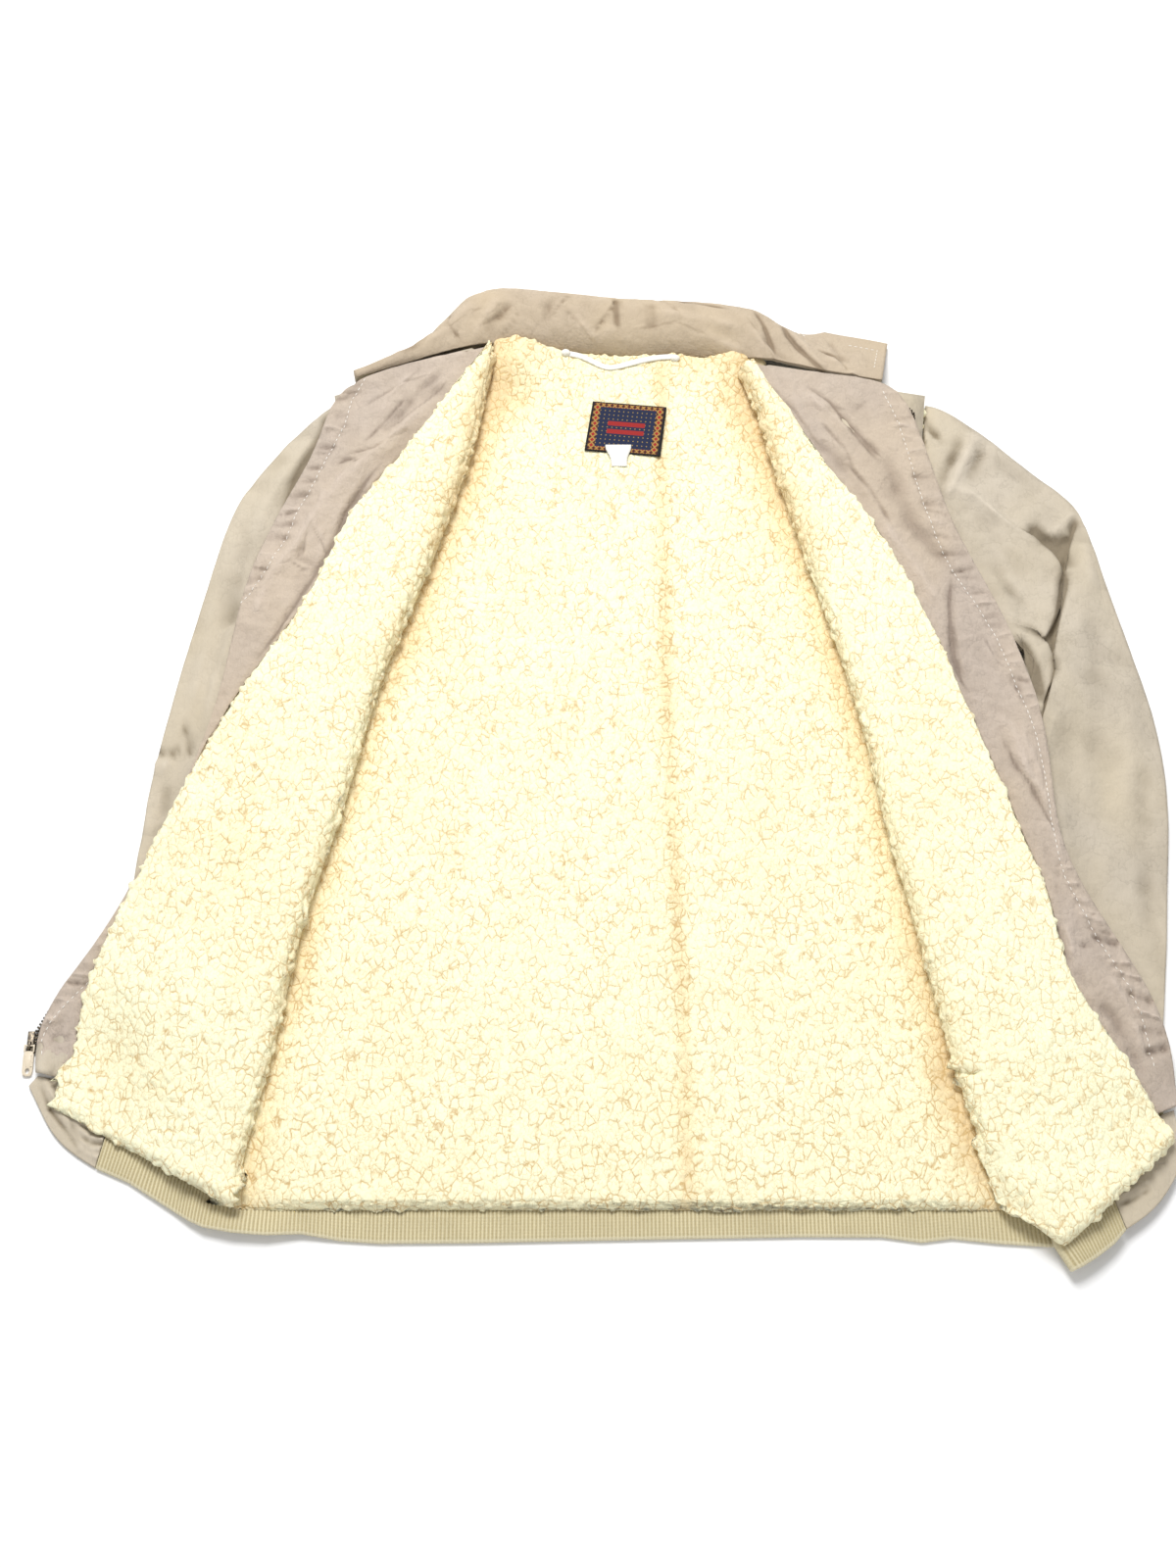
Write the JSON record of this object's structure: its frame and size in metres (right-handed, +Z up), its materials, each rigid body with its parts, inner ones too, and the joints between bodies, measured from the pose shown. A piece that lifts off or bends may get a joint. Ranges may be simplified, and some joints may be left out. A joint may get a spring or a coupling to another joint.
{
  "type": "sherpa lined jacket",
  "caption": "Poplin zip jacket with thick cream pile lining, shirt collar and knitted hem rib, lying open on its back with both fronts turned out.",
  "frame": {"origin": "on the flat underside of the back shell, on the jacket's centre line, 0.34 m below the neck seam at the back", "axes": "+X to the wearer's left, +Y up the back towards the collar, +Z up from the surface the jacket lies on"},
  "size_m": [0.736, 0.7128, 0.029],
  "materials": {
    "shell": "beige cotton poplin, soft matt, creased",
    "pile": "cream ivory curly sherpa pile, matted in lumps",
    "facing": "pinkish beige poplin facing with white topstitching",
    "rib": "khaki one by one knitted rib",
    "label": "woven damask, navy ground with a red and gold border",
    "tape": "white woven tape",
    "zip_tape": "beige woven zip tape",
    "zip_metal": "dark oxidised brass",
    "pull": "beige painted tab"
  },
  "bodies": {
    "jacket": {"back_shell": "shell", "back_lining": "pile", "front_shell_right": "shell", "front_shell_left": "shell", "front_lining_right": "pile", "front_lining_left": "pile", "facing_right": "facing", "facing_left": "facing", "sleeve_right": "shell", "sleeve_left": "shell", "cuff_right": "rib", "cuff_left": "rib", "collar_upper": "shell", "collar_under": "shell", "rib_hem": "rib", "hem_tab_right": "shell", "hem_tab_left": "shell", "zip_tape_right": "zip_tape", "zip_tape_left": "zip_tape", "zip_slider": "zip_metal", "hanger_loop": "tape", "label": "label", "size_tag": "tape"},
    "pull": {"zip_pull": "pull"}
  },
  "joints": [
    {"name": "pull_hinge", "type": "hinge", "parent": "jacket", "child": "pull", "pos_m": [-0.3797, -0.182, 0.0027], "axis": [-1, 0, 0], "range_deg": [0, 150]}
  ]
}
